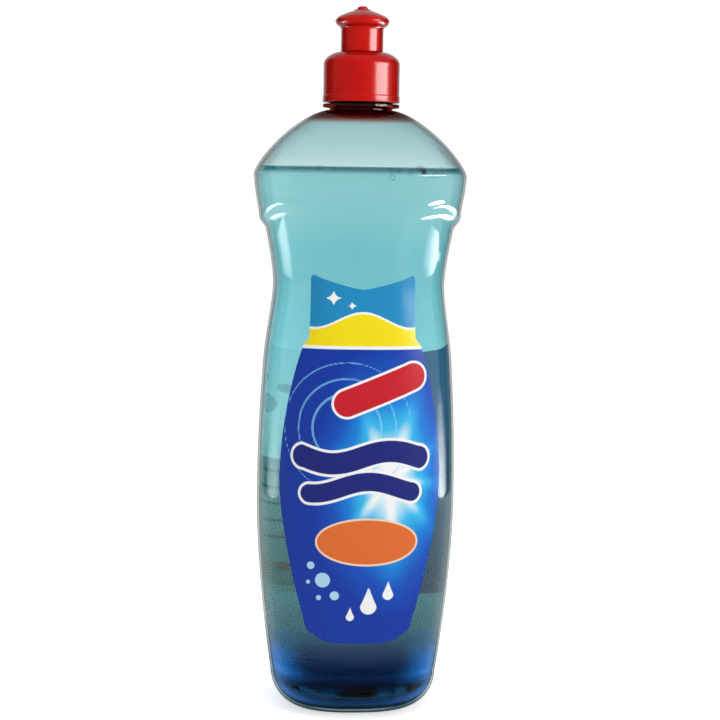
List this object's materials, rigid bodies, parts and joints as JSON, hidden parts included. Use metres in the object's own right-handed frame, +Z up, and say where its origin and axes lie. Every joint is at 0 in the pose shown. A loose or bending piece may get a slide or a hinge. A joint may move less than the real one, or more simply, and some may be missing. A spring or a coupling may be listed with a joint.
{
  "type": "rinse aid bottle",
  "caption": "Clear oval squeeze bottle of teal rinse aid with a gripped waist, a die-cut front label and a red push-pull closure that screws off.",
  "frame": {"origin": "middle of the flat that the bottle stands on, on the axis of its neck", "axes": "+Z up along the neck, -Y out of the front label, +X to the right as the front is seen"},
  "size_m": [0.0884, 0.073, 0.295],
  "materials": {
    "clear_bottle": "gloss",
    "liquid": "gloss",
    "front_film": "satin",
    "back_film": "satin",
    "seal": "matte",
    "closure": "gloss",
    "nozzle": "gloss"
  },
  "bodies": {
    "bottle": {"bottle": "clear_bottle", "rinse_liquid": "liquid", "front_label": "front_film", "back_label": "back_film"},
    "seal": {"sealing_ring": "seal"},
    "closure": {"closure_cap": "closure"},
    "nozzle": {"pull_nozzle": "nozzle"}
  },
  "joints": [
    {"name": "closure_rise", "type": "slide", "parent": "bottle", "child": "seal", "axis": [0, 0, 1], "range_m": [0, 0.00635]},
    {"name": "closure_turn", "type": "hinge", "parent": "seal", "child": "closure", "pos_m": [0, 0, 0.27], "axis": [0, 0, 1], "range_deg": [0, 540]},
    {"name": "nozzle_pull", "type": "slide", "parent": "closure", "child": "nozzle", "axis": [0, 0, 1], "range_m": [0, 0.006]}
  ],
  "couplings": [
    {"joint": "closure_rise", "follows": "closure_turn", "m_per_rad": 0.0006737}
  ]
}
